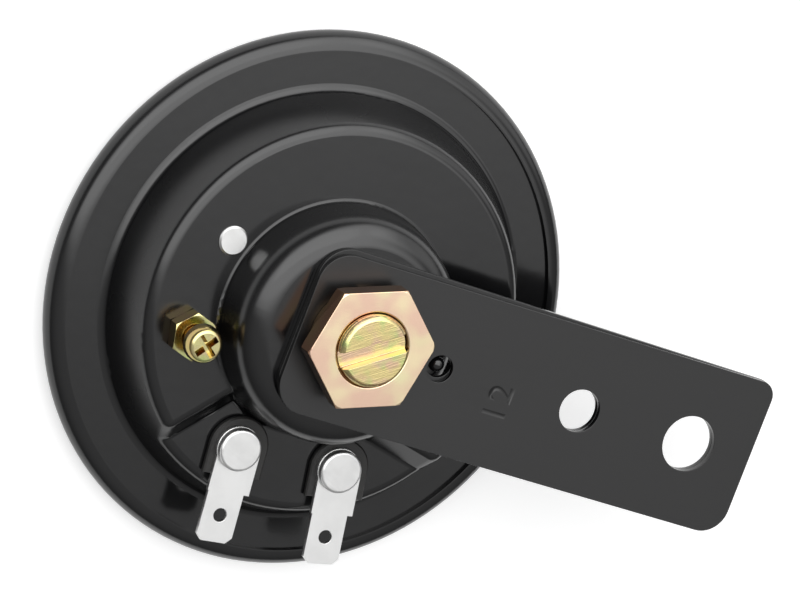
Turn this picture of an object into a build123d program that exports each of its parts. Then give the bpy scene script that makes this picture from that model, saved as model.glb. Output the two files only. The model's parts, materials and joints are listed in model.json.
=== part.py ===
from build123d import *
from math import asin, cos, degrees, hypot, radians, sin, sqrt, tan
import os

# Disc horn, 90 mm across. +Z is the horn's axis and points at its back, where the pole stud,
# the nut and the bracket are. The origin is on that axis, in the plane of the front bead,
# and +X runs along the bracket. All sizes are in millimetres.

# ---- driving dimensions: shell and rim ------------------------------------------------------
sheet = 1.0                      # housing steel
rim_radius = 45.0                # outside of the rolled bead
bead_radius = 2.75               # the bead's outer section radius, half the rim's thickness
bead_land = 0.8                  # width of the flat on the bead's front, on which the horn rests
ring_sheet = 0.7
lip_radius = 42.0                # inner edge of the lip rolled over the housing flange
web_inner_radius = 37.5          # the ring's flat web that clamps the diaphragm
web_top = 2.3
web_bend = 0.6
clamp_radius = 42.5              # outside of the gaskets and the diaphragm
front_gasket_thickness = 0.5
diaphragm_thickness = 0.4
back_gasket_inner_radius = 36.5
flange_radius = 42.8
flange_edge_round = 0.6

drum_foot_radius = 35.6          # drum wall where it meets the flange
drum_top_radius = 32.1           # the same wall carried up to the deck
drum_foot_round = 1.5
deck_top = 15.0
pocket_floor = 11.4              # lowered floor that carries the two terminals
boss_foot_radius = 19.8          # centre boss at deck height
boss_head_radius = 18.7          # the same wall carried up to the boss's head
boss_top = 24.0
bend_round = 2.0                 # outside of the deck's shoulder and the pocket's edges
crease_round = 0.8               # where the pocket's side walls meet its floor
boss_foot_round = 0.6
boss_head_round = 4.6

pocket_apex = (-5.7, -13.2)      # where the pocket's two side walls would meet, at the floor
pocket_sides = (-133.0, -12.7)   # directions of those walls, degrees from +X
pocket_slope = 42.0              # lean of the side walls from the vertical

# ---- magnet and diaphragm ---------------------------------------------------------------------
stud_radius = 5.95               # M12
stud_clearance = 0.15
stud_end = 33.0
stud_chamfer = 0.7
slot_angle = 32.0
slot_width = 2.8
slot_depth = 1.8
core_radius = 8.8
core_end = 16.6

bobbin_bore = 9.0
bobbin_tube_radius = 10.2
bobbin_flange_radius = 14.5
bobbin_end = 14.2
bobbin_wall = 1.0
winding_radius = 14.0

diaphragm_step_foot = 34.4       # the pressed step runs from here up to the centre flat
diaphragm_step_head = 30.9
diaphragm_rise = 2.2
diaphragm_hole = 3.1
diaphragm_bend = 1.5

armature_neck = 3.0
armature_radius = 10.5
armature_shoulder = 11.4
armature_tip = 16.0
armature_tip_radius = 8.5
armature_rivet_radius = 4.8
armature_rivet_height = 1.2
armature_rivet_crown = 3.4
push_washer_radius = 13.5
push_washer_thickness = 1.25

tone_disc_radius = 33.0
tone_disc_thickness = 1.4
tone_disc_front = 1.0
tone_disc_dish = 1.6
tone_disc_centre = 9.0
tone_disc_cone = 16.0
spacer_radius = 7.0

# ---- bracket ------------------------------------------------------------------------------------
leaf_thickness = 1.0
leaf_width = 27.0
leaf_left = -10.6
leaf_right = 75.2
leaf_shift = -0.74               # the leaves sit off the stud by their stud hole's clearance
inner_leaf_turn = -0.55          # the inner leaf is turned a little about the far end
leaf_left_round = 5.2
leaf_right_rounds = (4.6, 2.7)   # at -Y and at +Y
leaf_stud_hole = 6.75
near_hole_x = 42.1
near_hole_radius = 3.6
far_hole_x = 63.4
far_hole_radius = 4.7
pip_x = 15.4
pip_y = -0.35
pip_radius = 1.35
pip_dimple_radius = 0.6
pip_hole_radius = 2.25

washer_thickness = 2.0
washer_radius = 8.9
washer_slit = 1.4
washer_slit_angle = 118.0
nut_height = 3.5
nut_flats = 19.0
nut_corner_angle = 18.2
nut_bevel = 0.5
nut_countersink = 0.8            # of the bevel, for this nut and the adjuster's

# ---- terminals ------------------------------------------------------------------------------------
terminal_posts = ((-6.9, -24.7), (11.5, -23.6))
terminal_angles = (-84.0, -79.6)
terminal_names = ("1", "2")
tab_body_width = 7.4
tab_body_offset = 0.37
tab_blade_width = 6.3
tab_body_length = 7.6            # from the rivet to the blade's shoulders
tab_length = 16.0                # from the rivet to the blade's tip
tab_tip_chamfer = 1.0
tab_hole_at = 11.4
tab_hole_radius = 1.15
tab_thickness = 0.8
insulator_width = 10.2
insulator_offset = 0.5          # to the same side as the tab's body
insulator_tail = 5.0
insulator_thickness = 1.2
insulator_edge = 0.25
post_radius = 1.6
post_hole_radius = 2.6           # in the housing
post_head_radius = 3.6
post_head_height = 1.3
post_head_round = 0.5
post_tail_radius = 2.6
post_tail_height = 0.7
inner_washer_radius = 4.5
inner_washer_thickness = 0.8
lug_radius = 3.4
lug_thickness = 0.5
lug_tongue_length = 7.5
lug_tongue_width = 2.8

# ---- contact breaker ------------------------------------------------------------------------------
breaker_rivet_at = (-21.8, 7.65)
breaker_rivet_radius = 1.3
breaker_rivet_head = 2.45
breaker_rivet_head_height = 0.5
breaker_rivet_edge = 0.3
breaker_tail_radius = 2.3
breaker_tail_height = 0.7
breaker_plate_length = 9.0
breaker_plate_width = 7.0
contact_at = (-21.6, -1.5)
contact_radius = 1.5
contact_face = 12.5              # where the two contacts meet
moving_arm_thickness = 0.3
moving_arm_width = 4.6
tongue_reach = -12.5              # x of the tongue's end, over the push washer
tongue_width = 3.2
fixed_arm_thickness = 0.8
fixed_arm_width = 6.5
breaker_insulator = 0.8
breaker_plate_round = 1.0
breaker_collar_radius = 2.2

adjuster_at = (-23.2, -8.6)
adjuster_radius = 2.0
adjuster_hole_radius = 2.05
adjuster_head_radius = 3.15
adjuster_head_top = 22.7
adjuster_head_height = 2.3
adjuster_head_round = 1.0        # of the domed edge, across
adjuster_head_dome = 1.9         # and downwards
adjuster_cross_angle = 52.0
adjuster_cross_length = 4.2
adjuster_cross_width = 1.1
adjuster_cross_depth = 1.5
adjuster_cross_taper = 12.0
adjuster_dot_offset = 1.9        # the small dimple beside the cross
adjuster_dot_radius = 0.25
adjuster_dot_depth = 0.1
lock_nut_flats = 7.0
lock_nut_height = 2.7
lock_nut_corner_angle = 43.0
lock_nut_bevel = 0.45

# ---- stations along the axis, front to back -------------------------------------------------
flange_top = 2 * bead_radius - ring_sheet
flange_bottom = flange_top - sheet
web_bottom = web_top - ring_sheet
diaphragm_front = web_top + front_gasket_thickness
diaphragm_back = diaphragm_front + diaphragm_thickness
centre_front = diaphragm_front + diaphragm_rise
centre_back = diaphragm_back + diaphragm_rise
deck_under = deck_top - sheet
floor_under = pocket_floor - sheet
boss_under = boss_top - sheet
inner_leaf_top = boss_top + leaf_thickness
outer_leaf_top = inner_leaf_top + leaf_thickness
washer_top = outer_leaf_top + washer_thickness
nut_top = washer_top + nut_height

os.makedirs("parts", exist_ok=True)


def write(part, name):
    """Label a finished piece and write it to its own STEP file."""
    part.label = name
    export_step(part, f"parts/{name}.step")


def upright(place):
    """The plane for turned outlines: radius along x and height along y, at a place."""
    return Plane((place[0], place[1], 0), x_dir=(1, 0, 0), z_dir=(0, -1, 0))


def upright_axis(place):
    return Axis((place[0], place[1], 0), (0, 0, 1))


def flat_ring(name, outer, inner, low, high, place=(0, 0)):
    """A gasket, washer or winding: a plain ring from low to high."""
    with BuildPart() as ring:
        with BuildSketch(Plane.XY.offset(low)):
            with Locations(place):
                Circle(outer)
                Circle(inner, mode=Mode.SUBTRACT)
        extrude(amount=high - low)
    write(ring.part, name)


def turned_piece(name, outline, place=(0, 0)):
    """A turned piece: its outline of radius and height pairs revolved about its own axis."""
    with BuildPart() as turned:
        with BuildSketch(upright(place)):
            with BuildLine():
                Polyline(*outline, close=True)
            make_face()
        revolve(axis=upright_axis(place))
    write(turned.part, name)


def hex_nut(name, place, flats, corner_angle, low, high, bore, bevel):
    """A hexagon nut: its corners are turned down and its bore is countersunk at both ends."""
    corner = flats / sqrt(3)
    sink = bevel * nut_countersink
    with BuildPart() as nut:
        with BuildSketch(Plane.XY.offset(low)):
            with Locations(place):
                RegularPolygon(corner, 6, rotation=corner_angle)
        extrude(amount=high - low)
        with BuildSketch(upright(place)):
            with BuildLine():
                Polyline(
                    (bore, low + sink),
                    (bore + sink, low),
                    (corner - bevel, low),
                    (corner, low + bevel / 2),
                    (corner, high - bevel / 2),
                    (corner - bevel, high),
                    (bore + sink, high),
                    (bore, high - sink),
                    close=True,
                )
            make_face()
        revolve(axis=upright_axis(place), mode=Mode.INTERSECT)
    write(nut.part, name)


# ---- housing: one pressed steel shell --------------------------------------------------------
def drum_radius(height):
    """Radius of the drum's leaning wall at a height above the front plane."""
    share = (height - flange_top) / (deck_top - flange_top)
    return drum_foot_radius + share * (drum_top_radius - drum_foot_radius)


def boss_radius(height):
    share = (height - deck_top) / (boss_top - deck_top)
    return boss_foot_radius + share * (boss_head_radius - boss_foot_radius)


def off_axis(edge):
    """Distance of an edge's middle from the horn's axis."""
    middle = edge.position_at(0.5)
    return hypot(middle.X, middle.Y)


def pocket_corners(height, inset):
    """The pocket's triangle at a height: its apex and two far ends, grown by inset."""
    left, right = [radians(side) for side in pocket_sides]
    middle = (left + right) / 2
    half = (right - left) / 2
    lean = (height - pocket_floor) * tan(radians(pocket_slope))
    back = (lean + inset / cos(radians(pocket_slope))) / sin(half)
    apex_x = pocket_apex[0] - back * cos(middle)
    apex_y = pocket_apex[1] - back * sin(middle)
    reach = 2 * rim_radius
    far_left = (apex_x + reach * cos(left), apex_y + reach * sin(left))
    far_right = (apex_x + reach * cos(right), apex_y + reach * sin(right))
    return (apex_x, apex_y), far_left, far_right


def pressed_form(inset, foot):
    """The housing's solid form above its foot, inset by the sheet for its inner skin.

    Bends keep the sheet's thickness: on the inner skin an outward bend's radius is smaller
    by the sheet and an inward corner's is larger.
    """
    deck = deck_top - inset
    floor = pocket_floor - inset
    head = boss_top - inset

    # the pocket: a wedge whose side walls lean outwards as they rise
    with BuildPart() as pocket:
        for height in (floor, deck + sheet):
            with BuildSketch(Plane.XY.offset(height)):
                with BuildLine():
                    Polyline(*pocket_corners(height, inset), close=True)
                make_face()
        loft(ruled=True)
        floor_edges = pocket.edges().group_by(Axis.Z)[0]
        fillet(floor_edges.sort_by(SortBy.LENGTH)[:2], crease_round + inset)

    with BuildPart() as form:
        with BuildSketch(Plane.XZ):
            with BuildLine():
                Polyline(
                    (0, foot),
                    (drum_radius(foot) - inset, foot),
                    (drum_radius(deck) - inset, deck),
                    (0, deck),
                    close=True,
                )
            make_face()
        revolve(axis=Axis.Z)
        add(pocket.part, mode=Mode.SUBTRACT)
        wall_edges = form.edges().filter_by(
            lambda edge: edge.center().Z > floor - 0.01
            and off_axis(edge) > drum_top_radius - sheet
        )
        deck_edges = form.edges().group_by(Axis.Z)[-1]
        bends = [edge for edge in wall_edges if edge not in deck_edges] + deck_edges
        fillet(bends, bend_round - inset)

        with BuildSketch(Plane.XZ):
            with BuildLine():
                Polyline(
                    (0, floor - sheet / 2),
                    (boss_radius(floor - sheet / 2) - inset, floor - sheet / 2),
                    (boss_radius(head) - inset, head),
                    (0, head),
                    close=True,
                )
            make_face()
        revolve(axis=Axis.Z)
        boss_wall = form.faces().filter_by(GeomType.CONE).sort_by(Axis.Z)[-1]
        boss_foot = boss_wall.edges().filter_by(lambda edge: edge.center().Z < deck + 0.01)
        fillet(boss_foot, boss_foot_round + inset)
        boss_head = form.edges().filter_by(GeomType.CIRCLE).group_by(Axis.Z)[-1]
        fillet(boss_head, boss_head_round - inset)
    return form.part


with BuildPart() as housing:
    add(pressed_form(0, flange_bottom))
    with BuildSketch(Plane.XY.offset(flange_bottom)):
        Circle(flange_radius)
    extrude(amount=sheet)
    flange_corners = housing.edges().filter_by(GeomType.CIRCLE).group_by(Axis.Z)[1]
    fillet(flange_corners.sort_by(off_axis)[-1], flange_edge_round)
    fillet(flange_corners.sort_by(off_axis)[0], drum_foot_round)
    add(pressed_form(sheet, flange_bottom - sheet), mode=Mode.SUBTRACT)
    mouth_edge = housing.edges().filter_by(GeomType.CIRCLE).group_by(Axis.Z)[0]
    fillet(mouth_edge.sort_by(off_axis)[0], drum_foot_round)
    # the pip that keeps the bracket from turning, with the dimple its punch leaves
    with Locations((pip_x, pip_y, boss_top)):
        Cylinder(pip_radius, sheet, align=(Align.CENTER, Align.CENTER, Align.MAX))
        Sphere(pip_radius, arc_size1=0, align=(Align.CENTER, Align.CENTER, Align.MIN))
    with Locations((pip_x, pip_y, boss_under)):
        Cylinder(pip_dimple_radius, 2 * sheet, mode=Mode.SUBTRACT)
    hole_places = (
        ((0, 0), stud_radius + stud_clearance),
        (breaker_rivet_at, breaker_rivet_radius),
        (adjuster_at, adjuster_hole_radius),
        (terminal_posts[0], post_hole_radius),
        (terminal_posts[1], post_hole_radius),
    )
    with BuildSketch(Plane.XY.offset(floor_under - sheet)):
        for place, radius in hole_places:
            with Locations(place):
                Circle(radius)
    extrude(amount=boss_top, mode=Mode.SUBTRACT)
write(housing.part, "housing")

# ---- front ring: thin sheet rolled over the flange -------------------------------------------
bead_centre = rim_radius - bead_radius
inner_bead_radius = bead_radius - ring_sheet
with BuildPart() as front_ring:
    with BuildSketch(Plane.XZ) as section:
        with BuildLine():
            outer_end = degrees(asin((bead_radius - web_bottom) / bead_radius))
            inner_end = degrees(asin((bead_radius - web_top) / inner_bead_radius))
            land_centre = bead_centre - bead_land
            outer_turn = CenterArc((bead_centre, bead_radius), bead_radius, 90, -180)
            outer_rise = CenterArc((land_centre, bead_radius), bead_radius, -90, outer_end - 90)
            inner_turn = CenterArc((bead_centre, bead_radius), inner_bead_radius, 90, -180)
            inner_rise = CenterArc(
                (land_centre, bead_radius), inner_bead_radius, -90, inner_end - 90
            )
            Line(outer_turn @ 1, outer_rise @ 0)
            Line(inner_turn @ 1, inner_rise @ 0)
            Polyline(
                outer_rise @ 1,
                (web_inner_radius, web_bottom),
                (web_inner_radius, web_top),
                inner_rise @ 1,
            )
            Polyline(
                outer_turn @ 0,
                (lip_radius, 2 * bead_radius),
                (lip_radius, flange_top),
                inner_turn @ 0,
            )
        make_face()
        fillet(section.vertices().sort_by(Axis.X)[2:4], web_bend)
    revolve(axis=Axis.Z)
write(front_ring.part, "front_ring")

# ---- diaphragm and its gaskets ---------------------------------------------------------------
flat_ring("front_gasket", clamp_radius, web_inner_radius, web_top, diaphragm_front)
flat_ring("back_gasket", clamp_radius, back_gasket_inner_radius, diaphragm_back, flange_bottom)

with BuildPart() as diaphragm:
    with BuildSketch(Plane.XZ) as section:
        with BuildLine():
            Polyline(
                (clamp_radius, diaphragm_front),
                (diaphragm_step_foot, diaphragm_front),
                (diaphragm_step_head, centre_front),
                (diaphragm_hole, centre_front),
                (diaphragm_hole, centre_back),
                (diaphragm_step_head, centre_back),
                (diaphragm_step_foot, diaphragm_back),
                (clamp_radius, diaphragm_back),
                close=True,
            )
        make_face()
        fillet(section.vertices().group_by(Axis.X)[1:3], diaphragm_bend)
    revolve(axis=Axis.Z)
write(diaphragm.part, "diaphragm")

# ---- the part that vibrates: armature, push washer, spacer and tone disc -----------------------
tone_disc_back = tone_disc_front + tone_disc_thickness
armature_front = tone_disc_front + tone_disc_dish
turned_piece(
    "tone_disc",
    (
        (armature_neck, armature_front),
        (tone_disc_centre, armature_front),
        (tone_disc_cone, tone_disc_front),
        (tone_disc_radius, tone_disc_front),
        (tone_disc_radius, tone_disc_back),
        (tone_disc_cone, tone_disc_back),
        (tone_disc_centre, armature_front + tone_disc_thickness),
        (armature_neck, armature_front + tone_disc_thickness),
    ),
)
flat_ring(
    "tone_disc_spacer",
    spacer_radius,
    armature_neck,
    armature_front + tone_disc_thickness,
    centre_front,
)
turned_piece(
    "armature",
    (
        (0, armature_front - armature_rivet_height),
        (armature_rivet_crown, armature_front - armature_rivet_height),
        (armature_rivet_radius, armature_front - armature_rivet_height / 2),
        (armature_rivet_radius, armature_front),
        (armature_neck, armature_front),
        (armature_neck, centre_back),
        (armature_radius, centre_back),
        (armature_radius, armature_shoulder),
        (armature_tip_radius, armature_shoulder),
        (armature_tip_radius, armature_tip - stud_chamfer / 2),
        (armature_tip_radius - stud_chamfer / 2, armature_tip),
        (0, armature_tip),
    ),
)
flat_ring(
    "push_washer",
    push_washer_radius,
    armature_tip_radius,
    armature_shoulder,
    armature_shoulder + push_washer_thickness,
)

# ---- electromagnet -----------------------------------------------------------------------------
with BuildPart() as pole_stud:
    with BuildSketch(Plane.XZ):
        with BuildLine():
            Polyline(
                (0, core_end),
                (core_radius - stud_chamfer / 2, core_end),
                (core_radius, core_end + stud_chamfer / 2),
                (core_radius, boss_under),
                (stud_radius, boss_under),
                (stud_radius, stud_end - stud_chamfer),
                (stud_radius - stud_chamfer, stud_end),
                (0, stud_end),
                close=True,
            )
        make_face()
    revolve(axis=Axis.Z)
    with BuildSketch(Plane.XY.offset(stud_end)):
        Rectangle(2 * core_radius, slot_width, rotation=slot_angle)
    extrude(amount=-slot_depth, mode=Mode.SUBTRACT)
write(pole_stud.part, "pole_stud")

turned_piece(
    "coil_bobbin",
    (
        (bobbin_bore, bobbin_end),
        (bobbin_flange_radius, bobbin_end),
        (bobbin_flange_radius, bobbin_end + bobbin_wall),
        (bobbin_tube_radius, bobbin_end + bobbin_wall),
        (bobbin_tube_radius, boss_under - bobbin_wall),
        (bobbin_flange_radius, boss_under - bobbin_wall),
        (bobbin_flange_radius, boss_under),
        (bobbin_bore, boss_under),
    ),
)
flat_ring(
    "coil_winding",
    winding_radius,
    bobbin_tube_radius,
    bobbin_end + bobbin_wall,
    boss_under - bobbin_wall,
)


# ---- bracket: two stacked leaves, clamped on the stud --------------------------------------------
def bracket_leaf(name, low, turn):
    """One leaf: a strip with rounded ends, turned in plan, its bolt holes in line with the other's."""
    length = leaf_right - leaf_left
    far_end = Plane((leaf_right, leaf_shift, low)).rotated((0, 0, turn))
    with BuildPart() as leaf:
        with BuildSketch(far_end) as outline:
            Rectangle(length, leaf_width, align=(Align.MAX, Align.CENTER))
            fillet(outline.vertices().group_by(Axis.X)[0], leaf_left_round)
            for corner, radius in zip((0, -1), leaf_right_rounds):
                right_end = outline.vertices().group_by(Axis.X)[-1]
                fillet(right_end.sort_by(Axis.Y)[corner], radius)
            for hole_x, radius in ((0, leaf_stud_hole), (pip_x, pip_hole_radius)):
                with Locations((hole_x - leaf_right, 0)):
                    Circle(radius, mode=Mode.SUBTRACT)
        extrude(amount=leaf_thickness)
        with BuildSketch(Plane((0, leaf_shift, low))):
            for hole_x, radius in ((near_hole_x, near_hole_radius), (far_hole_x, far_hole_radius)):
                with Locations((hole_x, 0)):
                    Circle(radius)
        extrude(amount=leaf_thickness, mode=Mode.SUBTRACT)
    write(leaf.part, name)


bracket_leaf("bracket_outer_leaf", inner_leaf_top, 0)
bracket_leaf("bracket_inner_leaf", boss_top, inner_leaf_turn)

with BuildPart() as spring_washer:
    with BuildSketch(Plane.XY.offset(outer_leaf_top)):
        Circle(washer_radius)
        Circle(stud_radius + stud_clearance, mode=Mode.SUBTRACT)
        Rectangle(
            washer_radius,
            washer_slit,
            rotation=washer_slit_angle,
            align=(Align.MIN, Align.CENTER),
            mode=Mode.SUBTRACT,
        )
    extrude(amount=washer_thickness)
write(spring_washer.part, "spring_washer")

hex_nut(
    "stud_nut", (0, 0), nut_flats, nut_corner_angle, washer_top, nut_top, stud_radius, nut_bevel
)


# ---- terminals: tab and insulator outside, washer and lug inside, held by one rivet -----------
def terminal_plane(place, angle, height):
    """A plane on a terminal's rivet, with x along its tab."""
    turn = radians(angle)
    return Plane((place[0], place[1], height), x_dir=(cos(turn), sin(turn), 0), z_dir=(0, 0, 1))


def terminal(name, place, angle):
    insulator_top = pocket_floor + insulator_thickness
    tab_top = insulator_top + tab_thickness
    washer_bottom = floor_under - inner_washer_thickness
    lug_bottom = washer_bottom - lug_thickness

    with BuildPart() as insulator:
        with BuildSketch(terminal_plane(place, angle, pocket_floor)):
            with Locations((0, insulator_offset)):
                Circle(insulator_width / 2)
                Rectangle(insulator_tail, insulator_width, align=(Align.MIN, Align.CENTER))
            Circle(post_radius, mode=Mode.SUBTRACT)
        extrude(amount=insulator_thickness)
        rims = insulator.faces().filter_by(Axis.Z)
        chamfer([rim.outer_wire().edges() for rim in rims], insulator_edge)
    write(insulator.part, f"terminal_insulator_{name}")

    with BuildPart() as tab:
        with BuildSketch(terminal_plane(place, angle, insulator_top)) as outline:
            Circle(tab_body_width / 2)
            with Locations((0, tab_body_offset)):
                Rectangle(tab_body_length, tab_body_width, align=(Align.MIN, Align.CENTER))
            Rectangle(tab_length, tab_blade_width, align=(Align.MIN, Align.CENTER))
            tip = outline.vertices().sort_by_distance((0, 0))[-2:]
            chamfer(tip, tab_tip_chamfer)
            Circle(post_radius, mode=Mode.SUBTRACT)
            with Locations((tab_hole_at, 0)):
                Circle(tab_hole_radius, mode=Mode.SUBTRACT)
        extrude(amount=tab_thickness)
    write(tab.part, f"terminal_tab_{name}")

    with BuildPart() as rivet:
        with BuildSketch(upright(place)):
            with BuildLine():
                Polyline(
                    (0, lug_bottom - post_tail_height),
                    (post_tail_radius, lug_bottom - post_tail_height),
                    (post_tail_radius, lug_bottom),
                    (post_radius, lug_bottom),
                    (post_radius, tab_top),
                    (post_head_radius, tab_top),
                    (post_head_radius, tab_top + post_head_height),
                    (0, tab_top + post_head_height),
                    close=True,
                )
            make_face()
        revolve(axis=upright_axis(place))
        head_edge = rivet.edges().filter_by(GeomType.CIRCLE).group_by(Axis.Z)[-1]
        fillet(head_edge, post_head_round)
    write(rivet.part, f"terminal_rivet_{name}")

    turned_piece(
        f"terminal_washer_{name}",
        (
            (post_radius, washer_bottom),
            (inner_washer_radius, washer_bottom),
            (inner_washer_radius, floor_under),
            (post_hole_radius, floor_under),
            (post_hole_radius, pocket_floor),
            (post_radius, pocket_floor),
        ),
        place,
    )

    with BuildPart() as lug:
        with BuildSketch(terminal_plane(place, angle + 180, lug_bottom)):
            Circle(lug_radius)
            Rectangle(lug_tongue_length, lug_tongue_width, align=(Align.MIN, Align.CENTER))
            Circle(post_radius, mode=Mode.SUBTRACT)
        extrude(amount=lug_thickness)
    write(lug.part, f"terminal_lug_{name}")


for name, place, angle in zip(terminal_names, terminal_posts, terminal_angles):
    terminal(name, place, angle)


# ---- contact breaker, riveted under the deck ---------------------------------------------------
lower_plate_top = floor_under + breaker_insulator
fixed_arm_top = lower_plate_top + fixed_arm_thickness
upper_plate_bottom = deck_under - breaker_insulator
moving_arm_bottom = upper_plate_bottom - moving_arm_thickness
contact_run = contact_at[1] - breaker_rivet_at[1]
adjuster_run = adjuster_at[1] - breaker_rivet_at[1]


def breaker_plane(height):
    """A plane on the breaker's rivet, with x along +X and y along the arms, towards -Y."""
    return Plane((breaker_rivet_at[0], breaker_rivet_at[1], height))


for name, low, high in (
    ("breaker_lower_insulator", floor_under, lower_plate_top),
    ("breaker_upper_insulator", upper_plate_bottom, deck_under),
):
    with BuildPart() as plate:
        with BuildSketch(breaker_plane(low)) as outline:
            Rectangle(breaker_plate_width, breaker_plate_length)
            fillet(outline.vertices(), breaker_plate_round)
            Circle(breaker_rivet_radius, mode=Mode.SUBTRACT)
        extrude(amount=high - low)
    write(plate.part, name)

# the spacer keeps the arms apart, and its collar keeps them off the rivet
with BuildPart() as breaker_spacer:
    with BuildSketch(breaker_plane(fixed_arm_top)) as outline:
        Rectangle(breaker_plate_width, breaker_plate_length)
        fillet(outline.vertices(), breaker_plate_round)
    extrude(amount=moving_arm_bottom - fixed_arm_top)
    with BuildSketch(breaker_plane(lower_plate_top)):
        Circle(breaker_collar_radius)
    extrude(amount=upper_plate_bottom - lower_plate_top)
    with BuildSketch(breaker_plane(lower_plate_top)):
        Circle(breaker_rivet_radius)
    extrude(amount=upper_plate_bottom - lower_plate_top, mode=Mode.SUBTRACT)
write(breaker_spacer.part, "breaker_spacer")

with BuildPart() as fixed_contact_arm:
    with BuildSketch(breaker_plane(lower_plate_top)) as outline:
        with Locations((0, breaker_plate_length / 2)):
            Rectangle(
                fixed_arm_width,
                breaker_plate_length / 2 - adjuster_run + fixed_arm_width / 2,
                align=(Align.CENTER, Align.MAX),
            )
        fillet(outline.vertices(), breaker_plate_round)
        Circle(breaker_collar_radius, mode=Mode.SUBTRACT)
    extrude(amount=fixed_arm_thickness)
write(fixed_contact_arm.part, "fixed_contact_arm")

with BuildPart() as moving_contact_arm:
    with BuildSketch(breaker_plane(moving_arm_bottom)) as outline:
        with Locations((0, breaker_plate_length / 2)):
            Rectangle(
                moving_arm_width,
                breaker_plate_length / 2 - contact_run + tongue_width / 2,
                align=(Align.CENTER, Align.MAX),
            )
        with Locations((0, contact_run)):
            Rectangle(
                tongue_reach - breaker_rivet_at[0],
                tongue_width,
                align=(Align.MIN, Align.CENTER),
            )
        Circle(breaker_collar_radius, mode=Mode.SUBTRACT)
    extrude(amount=moving_arm_thickness)
write(moving_contact_arm.part, "moving_contact_arm")

for name, low, high in (
    ("fixed_contact", fixed_arm_top, contact_face),
    ("moving_contact", contact_face, moving_arm_bottom),
):
    with BuildPart() as contact:
        with BuildSketch(Plane.XY.offset(low)):
            with Locations(contact_at):
                Circle(contact_radius)
        extrude(amount=high - low)
    write(contact.part, name)

turned_piece(
    "breaker_rivet",
    (
        (0, floor_under - breaker_tail_height),
        (breaker_tail_radius, floor_under - breaker_tail_height),
        (breaker_tail_radius, floor_under),
        (breaker_rivet_radius, floor_under),
        (breaker_rivet_radius, deck_top),
        (breaker_rivet_head, deck_top),
        (breaker_rivet_head, deck_top + breaker_rivet_head_height - breaker_rivet_edge),
        (breaker_rivet_head - breaker_rivet_edge, deck_top + breaker_rivet_head_height),
        (0, deck_top + breaker_rivet_head_height),
    ),
    breaker_rivet_at,
)

# ---- adjusting screw: bears on the fixed arm through the deck, held by its lock nut -------------
head_bottom = adjuster_head_top - adjuster_head_height
dome_foot = adjuster_head_top - adjuster_head_dome
with BuildPart() as adjusting_screw:
    with BuildSketch(upright(adjuster_at)):
        with BuildLine():
            Polyline(
                (0, fixed_arm_top),
                (adjuster_radius - stud_chamfer, fixed_arm_top),
                (adjuster_radius, fixed_arm_top + stud_chamfer),
                (adjuster_radius, head_bottom),
                (adjuster_head_radius, head_bottom),
                (adjuster_head_radius, dome_foot),
            )
            EllipticalCenterArc(
                (adjuster_head_radius - adjuster_head_round, dome_foot),
                adjuster_head_round,
                adjuster_head_dome,
                arc_size=90,
            )
            Polyline(
                (adjuster_head_radius - adjuster_head_round, adjuster_head_top),
                (0, adjuster_head_top),
                (0, fixed_arm_top),
            )
        make_face()
    revolve(axis=upright_axis(adjuster_at))
    with BuildSketch(Plane.XY.offset(adjuster_head_top)):
        with Locations(adjuster_at):
            for turn in (adjuster_cross_angle, adjuster_cross_angle + 90):
                Rectangle(adjuster_cross_length, adjuster_cross_width, rotation=turn)
    extrude(amount=-adjuster_cross_depth, taper=adjuster_cross_taper, mode=Mode.SUBTRACT)
    with BuildSketch(Plane.XY.offset(adjuster_head_top)):
        with Locations((adjuster_at[0], adjuster_at[1] + adjuster_dot_offset)):
            Circle(adjuster_dot_radius)
    extrude(amount=-adjuster_dot_depth, mode=Mode.SUBTRACT)
write(adjusting_screw.part, "adjusting_screw")

hex_nut(
    "adjusting_lock_nut",
    adjuster_at,
    lock_nut_flats,
    lock_nut_corner_angle,
    deck_top,
    deck_top + lock_nut_height,
    adjuster_radius,
    lock_nut_bevel,
)
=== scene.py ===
# %% [markdown]
# # Disc horn: finish, light and small detail
# The horn's pieces come from the CAD frame at their real size. This script gives each one its
# finish, puts in the detail that is too fine for the CAD solids (the stud's thread, the stamped
# figures, the rounded edges of punched plate), and lights and frames the result. Lengths are in
# metres, and `mm` keeps them readable.

import json
from math import pi, radians

import bmesh
import bpy
from mathutils import Matrix, Vector

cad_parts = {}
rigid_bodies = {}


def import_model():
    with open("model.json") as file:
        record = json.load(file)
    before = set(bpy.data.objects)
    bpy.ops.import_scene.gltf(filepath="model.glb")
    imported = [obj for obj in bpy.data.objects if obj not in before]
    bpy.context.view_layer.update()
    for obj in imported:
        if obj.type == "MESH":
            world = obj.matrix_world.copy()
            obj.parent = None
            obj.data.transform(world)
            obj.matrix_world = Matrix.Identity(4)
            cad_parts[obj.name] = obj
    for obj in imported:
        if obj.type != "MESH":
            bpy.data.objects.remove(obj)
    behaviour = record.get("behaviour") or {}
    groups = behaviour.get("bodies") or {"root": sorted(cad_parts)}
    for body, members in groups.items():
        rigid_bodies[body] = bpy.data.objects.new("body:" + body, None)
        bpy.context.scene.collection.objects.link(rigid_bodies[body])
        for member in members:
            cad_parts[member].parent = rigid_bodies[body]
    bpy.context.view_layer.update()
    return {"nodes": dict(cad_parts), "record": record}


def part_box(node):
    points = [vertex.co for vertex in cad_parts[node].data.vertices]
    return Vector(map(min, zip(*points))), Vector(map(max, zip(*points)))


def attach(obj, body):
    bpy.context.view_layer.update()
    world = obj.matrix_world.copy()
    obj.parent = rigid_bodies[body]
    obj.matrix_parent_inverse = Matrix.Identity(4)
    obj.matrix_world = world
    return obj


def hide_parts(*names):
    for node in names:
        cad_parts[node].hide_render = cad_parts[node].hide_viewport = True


for leftover in list(bpy.data.objects):
    bpy.data.objects.remove(leftover)
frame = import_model()
mm = 0.001
print("pieces in the frame:", len(frame["nodes"]))

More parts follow.
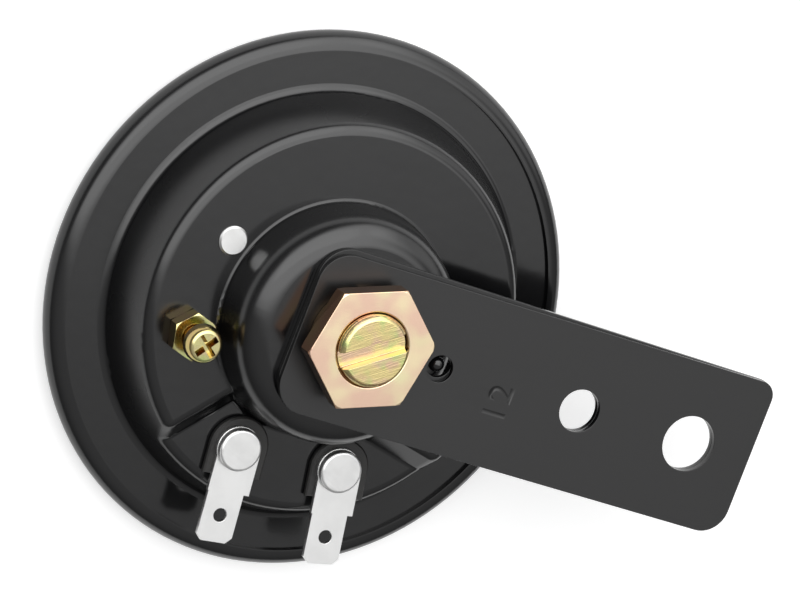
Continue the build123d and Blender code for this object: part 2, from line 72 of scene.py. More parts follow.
# %% [markdown]
# ## Camera
# A product like this is looked at through a long lens from about a metre away, which keeps its
# circles true. A short lens close up would show the same side, but would swell the nut and shrink
# the rim. The camera looks down on the horn's back, with the bracket running off to the lower
# right. It comes first because every later choice is judged through it. The Standard view
# transform shows each colour about as it is written.

# %% Camera
camera = bpy.data.objects.new("camera", bpy.data.cameras.new("camera"))
bpy.context.scene.collection.objects.link(camera)
camera.location = (-0.42882, 0.13902, 0.85897)
camera.rotation_euler = [radians(turn) for turn in (-17.6914, -22.7203, 22.7254)]
camera.data.lens = 268.24
camera.data.clip_start = 0.05
bpy.context.scene.camera = camera
bpy.context.scene.view_settings.view_transform = "Standard"
print("camera is", round(camera.location.length, 3), "m from the horn")

# %% [markdown]
# ## Building blocks for materials
# A material is a small graph of nodes. It could be wired line by line, but then the wiring hides
# the idea. `Graph` does the typing: it adds a node, fills its inputs by name with either a value or
# another node's output, and hands the node back.


# %% Graph helper
class Graph:
    """Adds nodes to one node tree and links them as they are added."""

    def __init__(self, tree):
        self.tree = tree

    def fill(self, node, inputs):
        """Gives each named input a value, or a link if it is given another node's output."""
        for name, value in inputs.items():
            if isinstance(value, bpy.types.NodeSocket):
                self.tree.links.new(value, node.inputs[name])
            else:
                node.inputs[name].default_value = value

    def add(self, kind, inputs=None, **settings):
        """A new node with these settings and inputs."""
        node = self.tree.nodes.new(kind)
        for name, value in settings.items():
            setattr(node, name, value)
        self.fill(node, inputs or {})
        return node

    def math(self, operation, *values):
        """One step of arithmetic."""
        node = self.add("ShaderNodeMath", dict(enumerate(values)), operation=operation)
        return node.outputs[0]

    def ramp(self, value, low, high, start=0.0, end=1.0):
        """A smooth step from start to end while value goes from low to high."""
        inputs = {"Value": value, "From Min": low, "From Max": high, "To Min": start, "To Max": end}
        node = self.add("ShaderNodeMapRange", inputs, interpolation_type="SMOOTHSTEP")
        return node.outputs["Result"]

    def mix(self, mask, first, second, blend="MIX"):
        """first where the mask is 0 and second where it is 1, as colours."""
        colours = {0: mask, 6: first, 7: second}
        node = self.add("ShaderNodeMix", colours, data_type="RGBA", blend_type=blend)
        return node.outputs[2]

    def noise(self, scale, detail, place):
        """A soft cloud of values between 0 and 1."""
        inputs = {"Vector": place, "Scale": scale, "Detail": detail}
        return self.add("ShaderNodeTexNoise", inputs).outputs[0]


print("graph helper ready")

# %% [markdown]
# ## Effects that several finishes share
# Real finishes are never even. Stoved paint dries in slow waves with a few specks of dust in it,
# metal that was sawn, rolled or rubbed in the press has short straight lines, and the gloss of
# paint or plating differs between a face that lies flat and one that stands up; on the plating, a
# face that stands up also gets painted shade. Copies of the same nodes in each material would drift
# apart, so each effect is built once as a group and placed in a material with its own sizes.


# %% Group helper
VALUE, VECTOR, COLOUR = "NodeSocketFloat", "NodeSocketVector", "NodeSocketColor"


class Effect(Graph):
    """The Graph of a new shader group with named inputs and outputs."""

    def __init__(self, name, inputs, outputs):
        super().__init__(bpy.data.node_groups.new(name, "ShaderNodeTree"))
        for label, kind in inputs.items():
            self.tree.interface.new_socket(name=label, in_out="INPUT", socket_type=kind)
        for label, kind in outputs.items():
            self.tree.interface.new_socket(name=label, in_out="OUTPUT", socket_type=kind)
        self.given = self.add("NodeGroupInput").outputs
        self.result = self.add("NodeGroupOutput")


print("group helper ready")

# %% [markdown]
# The waves are a broad noise that only lifts the surface. The dust is made of cells, of which a
# small share keeps a dot at its middle, each dot of its own size. Scattered round pieces would do
# the same at a hundred times the cost.

# %% Paint waves and dust specks
waves = Effect("paint_waves", {"Vector": VECTOR, "Scale": VALUE}, {"Height": VALUE})
slow_wave = waves.noise(waves.given["Scale"], 1.5, waves.given["Vector"])
waves.fill(waves.result, {"Height": slow_wave})

specks = Effect(
    "dust_specks",
    {"Vector": VECTOR, "Scale": VALUE, "Share": VALUE, "Size": VALUE},
    {"Mask": VALUE},
)
cells = specks.add(
    "ShaderNodeTexVoronoi", {"Vector": specks.given["Vector"], "Scale": specks.given["Scale"]}
)
chance = specks.add("ShaderNodeSeparateColor", {"Color": cells.outputs["Color"]})
kept = specks.math("LESS_THAN", chance.outputs["Red"], specks.given["Share"])
reach = specks.math("MULTIPLY", specks.given["Size"], chance.outputs["Green"])
dot = specks.ramp(cells.outputs["Distance"], 0.0, reach, 1.0, 0.0)
specks.fill(specks.result, {"Mask": specks.math("MULTIPLY", kept, dot)})
print("groups:", [group.name for group in bpy.data.node_groups])

# %% [markdown]
# Lines left by a roller, a saw or a rubbing die are a noise that is turned to their direction and
# stretched along it. A wave texture would repeat too evenly for that.

# %% Rubbed lines
rubbed = Effect(
    "rubbed_lines",
    {"Vector": VECTOR, "Angle": VALUE, "Across": VALUE, "Along": VALUE},
    {"Lines": VALUE},
)
turned = rubbed.add(
    "ShaderNodeVectorRotate",
    {"Vector": rubbed.given["Vector"], "Angle": rubbed.given["Angle"]},
    rotation_type="Z_AXIS",
)
stretch = rubbed.add(
    "ShaderNodeCombineXYZ",
    {"X": rubbed.given["Along"], "Y": rubbed.given["Across"], "Z": rubbed.given["Across"]},
)
stretched = rubbed.add(
    "ShaderNodeVectorMath", {0: turned.outputs[0], 1: stretch.outputs[0]}, operation="MULTIPLY"
)
rubbed.fill(rubbed.result, {"Lines": rubbed.noise(1.0, 2.0, stretched.outputs[0])})
print("groups:", [group.name for group in bpy.data.node_groups])

# %% [markdown]
# How far a face looks up decides how its coat dried or was rubbed, and on the plating how much
# painted shade its colour takes. The height of its normal says so: 1 on a level face, 0 on a wall,
# -1 on an underside.

# %% Upward faces
upward = Effect("upward_faces", {"Normal": VECTOR}, {"Upward": VALUE})
directions = upward.add("ShaderNodeSeparateXYZ", {"Vector": upward.given["Normal"]})
upward.fill(upward.result, {"Upward": directions.outputs["Z"]})
print("groups:", [group.name for group in bpy.data.node_groups])

# %% [markdown]
# Yellow-passivated zinc shows thin-film colours: straw over most of a face, drifting to pink and to
# green where the film is thicker. The colours could be worked out from the film's thickness, but
# two slow noises that choose between three colours are enough, and are easier to steer.

# %% Passivation colours
film = Effect(
    "passivation_colours",
    {"Vector": VECTOR, "Scale": VALUE, "Straw": COLOUR, "Pink": COLOUR, "Green": COLOUR},
    {"Color": COLOUR},
)
elsewhere = (0.031, 0.047, 0.013)
moved = film.add(
    "ShaderNodeVectorMath", {0: film.given["Vector"], 1: elsewhere}, operation="ADD"
)
first_drift = film.noise(film.given["Scale"], 2.0, film.given["Vector"])
second_drift = film.noise(film.given["Scale"], 2.0, moved.outputs[0])
towards_pink = film.ramp(first_drift, 0.40, 0.62)
towards_green = film.ramp(second_drift, 0.50, 0.72)
warm = film.mix(towards_pink, film.given["Straw"], film.given["Pink"])
film.fill(film.result, {"Color": film.mix(towards_green, warm, film.given["Green"])})
print("groups:", [group.name for group in bpy.data.node_groups])

# %% [markdown]
# ## One helper for every finish
# Each finish is a material with one Principled shader. Generated coordinates would stretch a
# pattern to each piece's box, so the pattern nodes read Object coordinates: a pattern has one
# real size on every piece, and stays fixed to the metal from whichever side it is seen.


# %% Finish helper
def colour(red, green, blue):
    """An opaque colour."""
    return (red, green, blue, 1.0)


class Finish(Graph):
    """The Graph of a new material, whose Principled shader takes the results."""

    def __init__(self, name):
        self.material = bpy.data.materials.new(name)
        self.material.use_nodes = True
        super().__init__(self.material.node_tree)
        self.shader = self.tree.nodes["Principled BSDF"]
        coordinates = self.add("ShaderNodeTexCoord").outputs
        self.place, self.facing = coordinates["Object"], coordinates["Normal"]

    def effect(self, name, **inputs):
        """What a shared effect gives with these values."""
        group = self.add("ShaderNodeGroup", inputs, node_tree=bpy.data.node_groups[name])
        return group.outputs[0]

    def cloud(self, scale, detail):
        """A noise over the piece."""
        return self.noise(scale, detail, self.place)

    def lines(self, angle, across, along):
        """Rubbed lines over the piece."""
        return self.effect(
            "rubbed_lines", Vector=self.place, Angle=angle, Across=across, Along=along
        )

    def relief(self, height, depth):
        """Relief of that depth, in metres."""
        bump = self.add("ShaderNodeBump", {"Height": height, "Distance": depth, "Strength": 1.0})
        return bump.outputs[0]

    def surface(self, inputs):
        """Fills the shader's inputs and gives the material."""
        self.fill(self.shader, inputs)
        return self.material


print("finish helper ready")

# %% [markdown]
# ## Stoved black enamel
# The housing, the rim and the tone disc are dipped and stoved: a deep gloss black that works as a
# dark mirror. Nearly all that is seen is reflection, so painting the highlights into the colour
# would fail from any other side. The colour stays almost black, and the care goes into the
# roughness, the slow waves of the film and the odd speck of dust. On steep walls the wet film runs
# and dries with a finer texture, so they are a little duller. The bracket is satin on its flats,
# while its edges, where the film is thin and gets rubbed, are glossier.


# %% Enamel materials
def enamel(name, black, smooth, dull, steep_change, wave_scale, wave_depth, speck_share):
    """Stoved paint; steep_change is what a wall adds to the roughness."""
    paint = Finish(name)
    dust = paint.effect(
        "dust_specks", Vector=paint.place, Scale=160.0, Share=speck_share, Size=0.045
    )
    dust_grey = tuple(5 * level for level in black[:3]) + (1.0,)
    sheen = paint.ramp(paint.cloud(70.0, 4.0), 0.35, 0.7, smooth, dull)
    up = paint.effect("upward_faces", Normal=paint.facing)
    steep = paint.ramp(paint.math("ABSOLUTE", up), 0.30, 0.95, steep_change, 0.0)
    marred = paint.math("MULTIPLY_ADD", dust, 0.25, steep)
    ripple = paint.effect("paint_waves", Vector=paint.place, Scale=wave_scale)
    height = paint.math("ADD", ripple, paint.math("MULTIPLY", dust, 0.5))
    return paint.surface(
        {
            "Base Color": paint.mix(paint.math("MULTIPLY", dust, 0.6), black, dust_grey),
            "Roughness": paint.math("ADD", sheen, marred),
            "Normal": paint.relief(height, wave_depth),
            "IOR": 1.55,
        }
    )


finish = {
    "black_paint": enamel(
        "stoved_gloss_enamel",
        black=colour(0.005, 0.005, 0.0055),
        smooth=0.13,
        dull=0.17,
        steep_change=0.12,
        wave_scale=420.0,
        wave_depth=0.006 * mm,
        speck_share=0.035,
    ),
    "bracket_paint": enamel(
        "stoved_satin_enamel",
        black=colour(0.005, 0.005, 0.0053),
        smooth=0.38,
        dull=0.44,
        steep_change=-0.24,
        wave_scale=900.0,
        wave_depth=0.010 * mm,
        speck_share=0.03,
    ),
}
print("enamels:", [material.name for material in finish.values()])

# %% [markdown]
# ## Plated steel
# The nut, the stud and the adjuster are zinc plated and passivated yellow. Their level faces are
# satin and pale, and their sides, which mirror the dark paint around them, are smoother. A plain
# yellow metal would miss the film's play of colour, so its three colours are laid on with the
# shared effect. Where a face stands up, the colour is also darkened and reddened: painted shade on
# the sides.


# %% Zinc helper
def film_colours(zinc, patch, straw, pink, green):
    """The passivation film's drifting colours on a finish."""
    return zinc.effect(
        "passivation_colours",
        Vector=zinc.place,
        Scale=patch,
        Straw=straw,
        Pink=pink,
        Green=green,
    )


def passivated_zinc(name, colours, side_shade_tint, patch, face_dull, side_dull, grain):
    """Yellow plated steel without its relief; gives its Finish, tint with painted side shade,
    speckle.
    """
    zinc = Finish(name)
    tint = film_colours(zinc, patch, *colours)
    on_top = zinc.ramp(zinc.effect("upward_faces", Normal=zinc.facing), 0.6, 0.95)
    # Painted shade: faces that stand up take side_shade_tint, a darker and redder colour.
    painted_side_shade = zinc.mix(on_top, side_shade_tint, colour(1.0, 1.0, 1.0))
    shaded = zinc.mix(1.0, tint, painted_side_shade, blend="MULTIPLY")
    speckle = zinc.cloud(grain, 2.0)
    dull = zinc.ramp(on_top, 0.0, 1.0, side_dull, face_dull)
    rough = zinc.math("MULTIPLY_ADD", speckle, 0.06, dull)
    zinc.surface({"Base Color": shaded, "Roughness": rough, "Metallic": 1.0})
    return zinc, shaded, speckle


print("zinc helper ready")

# %% [markdown]
# The nut and the stud share a finish in the record, but the stud's end was sawn and faced, so it is
# greener, with straight lines that run along its slot. One material serves both: it changes over
# inside the stud's radius, measured from the horn's axis.

# %% Nut and stud
nut_colours = (colour(0.86, 0.72, 0.47), colour(0.78, 0.54, 0.41), colour(0.80, 0.76, 0.45))
stud_colours = (colour(0.68, 0.56, 0.26), colour(0.66, 0.46, 0.31), colour(0.46, 0.57, 0.22))
slot_angle = radians(-32)

# The nut's sides get a strong, dark red painted shade.
zinc, nut_tint_with_side_shade, speckle = passivated_zinc(
    "yellow_passivated_zinc",
    nut_colours,
    side_shade_tint=colour(0.46, 0.35, 0.28),
    patch=110.0,
    face_dull=0.22,
    side_dull=0.08,
    grain=4000.0,
)
level = zinc.add("ShaderNodeVectorMath", {0: zinc.place, 1: (1, 1, 0)}, operation="MULTIPLY")
radius = zinc.add("ShaderNodeVectorMath", {0: level.outputs[0]}, operation="LENGTH")
on_stud = zinc.ramp(radius.outputs["Value"], 5.94 * mm, 5.99 * mm, 1.0, 0.0)
stud_tint = film_colours(zinc, 260.0, *stud_colours)
sawn = zinc.lines(slot_angle, across=5200.0, along=260.0)
saw_height = zinc.math("MULTIPLY", zinc.math("MULTIPLY", sawn, on_stud), 4.5)
height = zinc.math("MULTIPLY_ADD", speckle, 0.35, saw_height)
finish["yellow_zinc"] = zinc.surface(
    {
        "Base Color": zinc.mix(on_stud, nut_tint_with_side_shade, stud_tint),
        "Normal": zinc.relief(height, 0.004 * mm),
    }
)
print("made", finish["yellow_zinc"].name)

# %% [markdown]
# The adjusting screw and its lock nut are small and smooth, so they shine more than the big nut.
# Their film is greener, with smaller patches of colour, which keeps the patches in scale.

# %% Adjuster
screw_colours = (colour(0.62, 0.58, 0.27), colour(0.58, 0.47, 0.28), colour(0.44, 0.52, 0.20))
# The adjuster's sides get a milder painted shade.
screw, _, speckle = passivated_zinc(
    "bright_passivated_zinc",
    screw_colours,
    side_shade_tint=colour(0.80, 0.66, 0.58),
    patch=300.0,
    face_dull=0.16,
    side_dull=0.10,
    grain=5000.0,
)
finish["screw_zinc"] = screw.surface({"Normal": screw.relief(speckle, 0.003 * mm)})
print("made", finish["screw_zinc"].name)

# %% [markdown]
# ## White metals
# The tabs and their lugs are tinned sheet, the rivets a bright drawn metal, the diaphragm spring
# steel, the armature bare mild steel and the breaker's arms and contacts a harder, greyer metal.
# One shiny grey for all of them would look like plastic. They differ in brightness and in how
# clearly the lines left by rolling show, so one recipe takes those as its values.


# %% White metal materials
def rolled_metal(name, bright, shade, smooth, dull, angle, across, line_depth):
    """Sheet or rod with fine straight lines and a slow change of tone."""
    metal = Finish(name)
    tone = metal.ramp(metal.cloud(240.0, 3.0), 0.35, 0.7)
    lines = metal.lines(angle, across, across / 20)
    return metal.surface(
        {
            "Base Color": metal.mix(tone, bright, shade),
            "Roughness": metal.ramp(lines, 0.3, 0.7, smooth, dull),
            "Normal": metal.relief(lines, line_depth),
            "Metallic": 1.0,
        }
    )


finish["tinned_steel"] = rolled_metal(
    "tinned_sheet",
    bright=colour(0.78, 0.78, 0.775),
    shade=colour(0.74, 0.74, 0.735),
    smooth=0.30,
    dull=0.36,
    angle=radians(82),
    across=5000.0,
    line_depth=0.0015 * mm,
)
finish["rivet_metal"] = rolled_metal(
    "bright_rivet_metal",
    bright=colour(0.76, 0.76, 0.755),
    shade=colour(0.68, 0.68, 0.675),
    smooth=0.30,
    dull=0.42,
    angle=radians(20),
    across=3000.0,
    line_depth=0.006 * mm,
)
finish["spring_steel"] = rolled_metal(
    "spring_steel_strip",
    bright=colour(0.52, 0.53, 0.55),
    shade=colour(0.40, 0.41, 0.44),
    smooth=0.22,
    dull=0.34,
    angle=radians(90),
    across=7000.0,
    line_depth=0.003 * mm,
)
finish["bare_steel"] = rolled_metal(
    "bare_mild_steel",
    bright=colour(0.46, 0.45, 0.44),
    shade=colour(0.30, 0.29, 0.28),
    smooth=0.32,
    dull=0.48,
    angle=radians(45),
    across=4000.0,
    line_depth=0.006 * mm,
)
finish["contact_metal"] = rolled_metal(
    "tungsten_contact",
    bright=colour(0.50, 0.50, 0.52),
    shade=colour(0.34, 0.34, 0.37),
    smooth=0.18,
    dull=0.30,
    angle=radians(10),
    across=9000.0,
    line_depth=0.002 * mm,
)
print("finishes so far:", sorted(finish))

# %% [markdown]
# ## Boards, plastic and wire
# The insulators are resin-bonded paper board and the gaskets a softer fibre board: both are matt,
# with fibres lying two ways. Two sets of stretched noise that cross give that, where a plain noise
# would look like stone.


# %% Boards
def fibre_board(name, base, fleck, scale, dull, relief):
    """Matt board: short fibres as stretched noise, with lighter flecks."""
    board = Finish(name)
    fibres = board.lines(radians(30), scale, scale / 5)
    crossing = board.lines(radians(115), scale, scale / 5)
    weave = board.math("MAXIMUM", fibres, crossing)
    return board.surface(
        {
            "Base Color": board.mix(board.ramp(weave, 0.45, 0.8), base, fleck),
            "Roughness": board.ramp(weave, 0.4, 0.8, dull - 0.08, dull),
            "Normal": board.relief(weave, relief),
        }
    )


finish["insulator_board"] = fibre_board(
    "resin_board",
    base=colour(0.014, 0.0135, 0.013),
    fleck=colour(0.028, 0.027, 0.026),
    scale=2600.0,
    dull=0.62,
    relief=0.01 * mm,
)
finish["gasket_board"] = fibre_board(
    "gasket_fibre",
    base=colour(0.30, 0.26, 0.20),
    fleck=colour(0.46, 0.41, 0.32),
    scale=1800.0,
    dull=0.9,
    relief=0.04 * mm,
)
print("boards:", finish["insulator_board"].name, finish["gasket_board"].name)

# %% [markdown]
# The bobbin is moulded nylon, milky and faintly uneven. The winding is enamelled copper wire: a
# metal under a thin clear coat. Each turn could be laid as a curve, but neither is seen until the
# horn is opened, so a slow noise in colour and gloss is enough for both.

# %% Nylon and copper
nylon = Finish("moulded_nylon")
milk = nylon.cloud(900.0, 3.0)
milky = nylon.mix(nylon.ramp(milk, 0.3, 0.7), colour(0.62, 0.60, 0.54), colour(0.70, 0.68, 0.62))
finish["bobbin_plastic"] = nylon.surface(
    {
        "Base Color": milky,
        "Roughness": nylon.ramp(milk, 0.3, 0.7, 0.36, 0.46),
        "Normal": nylon.relief(milk, 0.006 * mm),
    }
)

copper = Finish("enamelled_copper_wire")
glow = copper.cloud(500.0, 2.0)
amber = copper.mix(copper.ramp(glow, 0.3, 0.7), colour(0.50, 0.16, 0.05), colour(0.64, 0.24, 0.09))
finish["enamelled_copper"] = copper.surface(
    {
        "Base Color": amber,
        "Roughness": copper.ramp(glow, 0.3, 0.7, 0.20, 0.30),
        "Metallic": 1.0,
        "Coat Weight": 0.6,
    }
)
print("finishes:", sorted(finish))

# %% [markdown]
# ## Giving out the finishes
# Every CAD piece already carries the name of its material slot, so nothing has to be listed here:
# one loop hands each piece the finish of that name.

# %% Give each piece its finish
slot_of = {name: piece.active_material.name for name, piece in frame["nodes"].items()}
for name, piece in frame["nodes"].items():
    piece.material_slots[0].material = finish[slot_of[name]]
print("finished pieces:", len(frame["nodes"]))

# %% [markdown]
# ## Working on a copy
# A CAD piece is never edited. To add detail, its mesh is copied, the loose triangles are joined
# at their corners, and triangles that share a plane are dissolved into one face, which leaves
# clean edges for a bevel or a cut. Modelling the piece again from nothing would take longer and
# could drift from its true size.


# %% Copy helpers
def working_copy(node, name):
    """A joined copy of a CAD piece's mesh, in its place, ready for cutting."""
    mesh = frame["nodes"][node].data.copy()
    mesh.name = name
    shape = bmesh.new()
    shape.from_mesh(mesh)
    bmesh.ops.remove_doubles(shape, verts=shape.verts, dist=0.0005 * mm)
    bmesh.ops.dissolve_limit(
        shape, angle_limit=radians(0.2), verts=shape.verts, edges=shape.edges
    )
    shape.to_mesh(mesh)
    shape.free()
    piece = bpy.data.objects.new(name, mesh)
    bpy.context.scene.collection.objects.link(piece)
    return piece


def applied(piece):
    """Turns the piece's live modifiers into plain mesh."""
    view = bpy.context.evaluated_depsgraph_get()
    mesh = bpy.data.meshes.new_from_object(piece.evaluated_get(view))
    piece.modifiers.clear()
    piece.data = mesh
    mesh.name = piece.name
    return piece


print("copy helpers ready")


# %% [markdown]
# A cut is a boolean with a tool-shaped piece, and a rounded edge is a bevel that finds the sharp
# edges by their angle. Afterwards the shading is settled: smooth round the bends, and level on the
# flats, which a weighted normal keeps level right up to the bevel.


# %% Cutting, rounding and shading
def cut(piece, tool):
    """Cuts the tool's shape out of the piece and throws the tool away."""
    knife = piece.modifiers.new("cut", "BOOLEAN")
    knife.operation = "DIFFERENCE"
    knife.solver = "EXACT"
    knife.object = tool
    applied(piece)
    bpy.data.objects.remove(tool)


def soften(piece, width):
    """Rounds the sharp edges of punched or machined metal by that width."""
    rounding = piece.modifiers.new("rounding", "BEVEL")
    rounding.width = width
    rounding.segments = 2
    rounding.limit_method = "ANGLE"
    rounding.angle_limit = radians(40)
    return piece


def settle(piece, sharp=radians(35)):
    """Shades smooth between sharp edges, with the flat faces kept flat beside their bends."""
    shape = bmesh.new()
    shape.from_mesh(applied(piece).data)
    bmesh.ops.recalc_face_normals(shape, faces=shape.faces)
    shape.to_mesh(piece.data)
    shape.free()
    piece.data.shade_smooth()
    piece.data.set_sharp_from_angle(angle=sharp)
    flatness = piece.modifiers.new("flat faces", "WEIGHTED_NORMAL")
    flatness.weight = 100
    flatness.keep_sharp = True
    return applied(piece)


print("cutting helpers ready")

# %% [markdown]
# A finished piece takes the place of its CAD node: it rides on the same body, so it moves with the
# horn, and it wears the same finish.

# %% Handing a piece in
bodies = frame["record"]["behaviour"]["bodies"]


def hand_in(piece, node):
    """The piece takes the CAD node's place, body and finish."""
    piece.data.materials.clear()
    piece.data.materials.append(finish[slot_of[node]])
    body = next(name for name, group in bodies.items() if node in group)
    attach(piece, body)
    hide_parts(node)
    print(piece.name, "has", len(piece.data.polygons), "faces")


print("bodies:", {name: len(group) for name, group in bodies.items()})

# %% [markdown]
# ## Bracket leaves
# The leaves are punched from sheet, so their edges are slightly rounded, and paint drawn thin over
# an edge catches the light as a fine line. The outer leaf is stamped with its voltage in plain
# digits. They could be a bump in the paint, but then they would vanish from the mesh, so a text
# object, turned to run across the strip, is the punch that cuts them. Its bevel slopes the walls,
# as a real punch does, so each stroke has a bright side and a dark side.

# %% Stamping tool
figure_share = 0.7


def stamping_tool(words, height, place, turn, depth):
    """Solid figures whose walls slope in to that depth below a place.

    A figure fills about figure_share of the font's size.
    """
    letters = bpy.data.curves.new(words, "FONT")
    letters.body = words
    letters.size = height / figure_share
    letters.align_x = "CENTER"
    letters.align_y = "CENTER"
    letters.bevel_depth = depth
    letters.bevel_resolution = 0
    letters.space_character = 1.15
    holder = bpy.data.objects.new("stamp", letters)
    bpy.context.scene.collection.objects.link(holder)
    holder.rotation_euler = (0, 0, turn)
    holder.location = place
    view = bpy.context.evaluated_depsgraph_get()
    mesh = bpy.data.meshes.new_from_object(holder.evaluated_get(view))
    mesh.transform(holder.matrix_world)
    bpy.data.objects.remove(holder)
    tool = bpy.data.objects.new("stamp", mesh)
    bpy.context.scene.collection.objects.link(tool)
    return tool


print("stamping tool ready")

# %% Both leaves
leaf_edge = 0.10 * mm
figure_height = 4.2 * mm
figure_depth = 0.18 * mm
figures_x, figures_y = 27.7 * mm, -3.5 * mm

leaf_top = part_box("bracket_outer_leaf")[1].z
outer_leaf = applied(soften(working_copy("bracket_outer_leaf", "outer_leaf_stamped"), leaf_edge))
figures = (figures_x, figures_y, leaf_top)
cut(outer_leaf, stamping_tool("12", figure_height, figures, radians(90), figure_depth))
hand_in(settle(outer_leaf), "bracket_outer_leaf")

inner_leaf = soften(working_copy("bracket_inner_leaf", "inner_leaf_rounded"), leaf_edge)
hand_in(settle(inner_leaf), "bracket_inner_leaf")

# %% [markdown]
# ## Stud thread
# A thread is a groove cut along a helix. Rings stacked at the pitch would be simpler, but would
# show as rings where the thread runs out. Geometry Nodes lays out the helix from four sizes and
# sweeps a three-sided tool along it, and a boolean cut takes the groove out of the stud, the way a
# die does.


# %% Thread cutting tool
def sized_input(tree, label, size):
    """A named size on a Geometry Nodes tree; gives the socket's identifier."""
    entry = tree.interface.new_socket(name=label, in_out="INPUT", socket_type=VALUE)
    entry.default_value = size
    return entry.identifier


def thread_tool():
    """The tree of a tool swept along a helix, with the identifiers of its inputs."""
    tree = bpy.data.node_groups.new("thread_tool", "GeometryNodeTree")
    tree.interface.new_socket(name="Mesh", in_out="OUTPUT", socket_type="NodeSocketGeometry")
    starting_sizes = {"Radius": 6 * mm, "Pitch": 1.25 * mm, "Turns": 6.0, "Tool Radius": 0.6 * mm}
    keys = {label: sized_input(tree, label, size) for label, size in starting_sizes.items()}
    graph = Graph(tree)
    given = graph.add("NodeGroupInput").outputs
    helix = graph.add(
        "GeometryNodeCurveSpiral",
        {
            "Resolution": 64,
            "Rotations": given["Turns"],
            "Start Radius": given["Radius"],
            "End Radius": given["Radius"],
            "Height": graph.math("MULTIPLY", given["Turns"], given["Pitch"]),
        },
    )
    upright = graph.add("GeometryNodeSetCurveNormal", {"Curve": helix.outputs[0]}, mode="Z_UP")
    tip = graph.add(
        "GeometryNodeCurvePrimitiveCircle", {"Resolution": 3, "Radius": given["Tool Radius"]}
    )
    swept = graph.add(
        "GeometryNodeCurveToMesh",
        {"Curve": upright.outputs[0], "Profile Curve": tip.outputs[0], "Fill Caps": True},
    )
    real = graph.add("GeometryNodeRealizeInstances", {"Geometry": swept.outputs[0]})
    painted = graph.add(
        "GeometryNodeSetMaterial",
        {"Geometry": real.outputs[0], "Material": finish["yellow_zinc"]},
    )
    graph.fill(graph.add("NodeGroupOutput"), {"Mesh": painted.outputs[0]})
    return tree, keys


thread_tree, thread_keys = thread_tool()
print("thread tool inputs:", list(thread_keys))

# %% [markdown]
# The stud has a fine thread, with a pitch of 1.25 mm. The tool's middle runs just outside the
# stud, so that only its point cuts in. It starts below the nut, inside the spring washer, where
# its first turn can't be seen, and runs out past the stud's end, so that the last turn is cut
# through as on a real one.


# %% Threaded stud
def grown(tree, keys, sizes, place, name):
    """The plain mesh that a tree makes with these sizes, at a place."""
    holder = bpy.data.objects.new(name, bpy.data.meshes.new(name))
    bpy.context.scene.collection.objects.link(holder)
    grow = holder.modifiers.new("grow", "NODES")
    grow.node_group = tree
    for label, size in sizes.items():
        grow[keys[label]] = size
    view = bpy.context.evaluated_depsgraph_get()
    mesh = bpy.data.meshes.new_from_object(holder.evaluated_get(view))
    mesh.transform(Matrix.Translation(place))
    holder.modifiers.clear()
    holder.data = mesh
    return holder


stud_edge = 0.08 * mm
thread_sizes = {
    "Radius": 6.15 * mm,
    "Pitch": 1.25 * mm,
    "Turns": 5.0,
    "Tool Radius": 0.72 * mm,
}
thread_reach = 5.6 * mm

thread_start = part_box("pole_stud")[1].z - thread_reach
stud = applied(soften(working_copy("pole_stud", "stud_threaded"), stud_edge))
cut(stud, grown(thread_tree, thread_keys, thread_sizes, (0, 0, thread_start), "stud_groove"))
hand_in(settle(stud), "pole_stud")

# %% [markdown]
# ## Rounded edges
# No punched or machined edge is truly sharp. A fine bevel on the nuts and on the terminal tabs
# gives each edge the thin bright line by which the eye reads it as metal. Rounding the normals in
# the material would give the line too, but the outline would stay sharp.

# %% Nuts and tabs with rounded edges
for node, rounded_name, width in (
    ("stud_nut", "nut_rounded", 0.12 * mm),
    ("adjusting_lock_nut", "lock_nut_rounded", 0.10 * mm),
    ("spring_washer", "spring_washer_rounded", 0.15 * mm),
    ("terminal_tab_1", "tab_1_rounded", 0.07 * mm),
    ("terminal_tab_2", "tab_2_rounded", 0.07 * mm),
):
    hand_in(settle(soften(working_copy(node, rounded_name), width)), node)

# %% [markdown]
# ## Floor
# The horn stands on a pale floor with a painted pool of light, greyer far away as on a lit table.
# Gloss black shows its surroundings more than its own colour, and a floor that stayed pale to the
# horizon would wash out the horn's walls. The floor glows a little for the eye and for mirrors, so
# that it shows as white paper while still taking the horn's shadow.


# %% Floor
def seen_directly(graph):
    """1 for what the camera, a mirror or glass sees, 0 for light that only falls on things."""
    path = graph.add("ShaderNodeLightPath").outputs
    through = graph.math("MAXIMUM", path["Is Glossy Ray"], path["Is Transmission Ray"])
    return graph.math("MAXIMUM", path["Is Camera Ray"], through)


def level_sheet(name, half):
    """A square sheet at the height of the floor."""
    mesh = bpy.data.meshes.new(name)
    corners = [(-half, -half, 0), (half, -half, 0), (half, half, 0), (-half, half, 0)]
    mesh.from_pydata(corners, [], [(0, 1, 2, 3)])
    sheet = bpy.data.objects.new(name, mesh)
    bpy.context.scene.collection.objects.link(sheet)
    return sheet


pale_as_far_as, grey_from = 0.13, 0.50
near_paleness, far_paleness = 0.80, 0.30
paper_glow = 0.55

floor = level_sheet("floor", half=6.0)
paper = Finish("pale_floor")
from_horn = paper.add("ShaderNodeVectorMath", {0: paper.place}, operation="LENGTH")
# Painted pool of light: the floor's colour and glow fade from pale near the horn to grey far away.
painted_light_pool = paper.ramp(from_horn.outputs["Value"], pale_as_far_as, grey_from, 1.0, 0.0)
glow = paper.math("MULTIPLY", seen_directly(paper), painted_light_pool)
paper.surface(
    {
        "Base Color": paper.mix(painted_light_pool, colour(*[far_paleness] * 3), colour(*[near_paleness] * 3)),
        "Roughness": 0.9,
        "Specular IOR Level": 0.0,
        "Emission Color": colour(1.0, 1.0, 1.0),
        "Emission Strength": paper.math("MULTIPLY", glow, paper_glow),
    }
)
floor.data.materials.append(paper.material)
print("floor is", round(floor.dimensions.x), "m across")

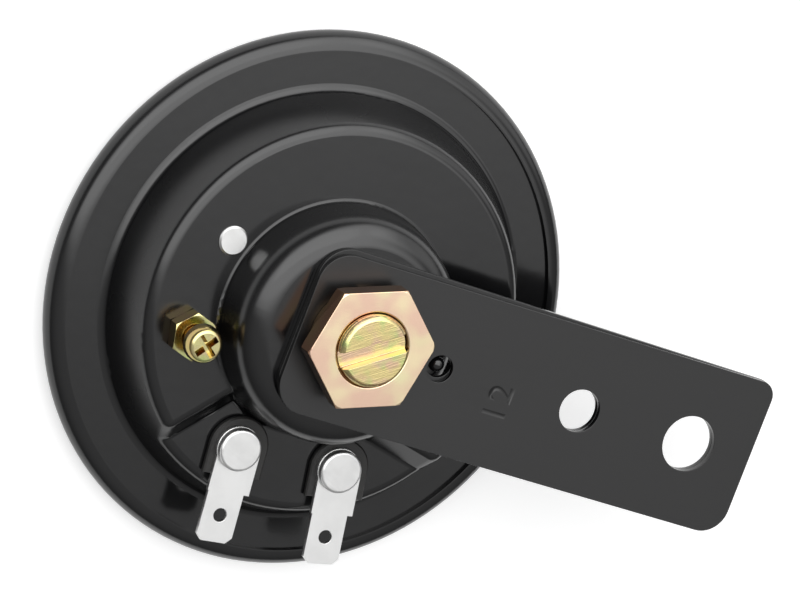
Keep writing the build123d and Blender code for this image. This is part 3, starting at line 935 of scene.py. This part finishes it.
# %% [markdown]
# ## Room
# A product in gloss black is lit by what it mirrors. The room is grey and paler overhead, with one
# very large soft box on the side that the bracket's top edge faces. Lamps with hard rims would
# draw hard lines in the paint, so the box is painted in the world as a product of soft steps, one
# across each rim. Its near rim runs almost overhead, which is what splits each rounded bend into
# a bright side and a dark side. A small window of light adds a second glint.

# %% Room
world = bpy.data.worlds.new("grey_room")
bpy.context.scene.world = world
world.use_nodes = True
sky = Graph(world.node_tree)
direction = sky.add("ShaderNodeTexCoord").outputs["Generated"]


def side_of(axis, low, high, start=0.0, end=1.0):
    """A soft step across the plane that an axis stands on."""
    along = sky.add("ShaderNodeVectorMath", {0: direction, 1: axis}, operation="DOT_PRODUCT")
    return sky.ramp(along.outputs["Value"], low, high, start, end)


grey_below, grey_overhead = 0.12, 0.58
box_strength = 2.4
share_that_lights = 0.5

room = side_of((0.0, 0.0, 1.0), -0.25, 1.1, grey_below, grey_overhead)
near_rim = side_of((-0.10, 0.97, 0.213), -0.06, 0.22)
far_rim = side_of((0.425, -0.115, 0.898), -0.08, 0.20)
right_rim = side_of((0.986, 0.168, 0.0), 0.35, 0.75, 1.0, 0.0)
soft_box = sky.math("MULTIPLY", sky.math("MULTIPLY", near_rim, far_rim), right_rim)
window = side_of((0.64, 0.64, 0.42), 0.86, 0.97)
bright = sky.math("ADD", sky.math("MULTIPLY_ADD", soft_box, box_strength, room), window)
share = sky.ramp(seen_directly(sky), 0.0, 1.0, share_that_lights, 1.0)
sky.fill(
    world.node_tree.nodes["Background"],
    {"Color": colour(1.0, 1.0, 1.0), "Strength": sky.math("MULTIPLY", bright, share)},
)
print("world:", world.name)

# %% [markdown]
# ## Lamp
# The painted room alone would leave the floor without a clear shadow, and a sun or a spot would
# draw a hard one. One area lamp on the soft box's side is wide and close, so its shadow has a
# direction but stays soft.


# %% Soft lamp
def soft_lamp(name, aim, level_edge, distance, size, radiance):
    """A rectangular soft box: aim points from the horn to the lamp, and one edge lies level."""
    lamp = bpy.data.lights.new(name, "AREA")
    lamp.shape = "RECTANGLE"
    lamp.size, lamp.size_y = size
    lamp.energy = radiance * pi * size[0] * size[1]
    holder = bpy.data.objects.new(name, lamp)
    bpy.context.scene.collection.objects.link(holder)
    towards = Vector(aim).normalized()
    across = towards.cross(Vector(level_edge)).normalized()
    along = across.cross(towards)
    holder.location = towards * distance
    holder.rotation_euler = Matrix((along, across, towards)).transposed().to_euler()


soft_lamp(
    "key_light",
    aim=(-0.33, 0.62, 0.71),
    level_edge=(1.0, 0.17, 0.0),
    distance=1.5,
    size=(1.6, 1.2),
    radiance=0.5,
)
print("lamps:", [lamp.name for lamp in bpy.data.lights])
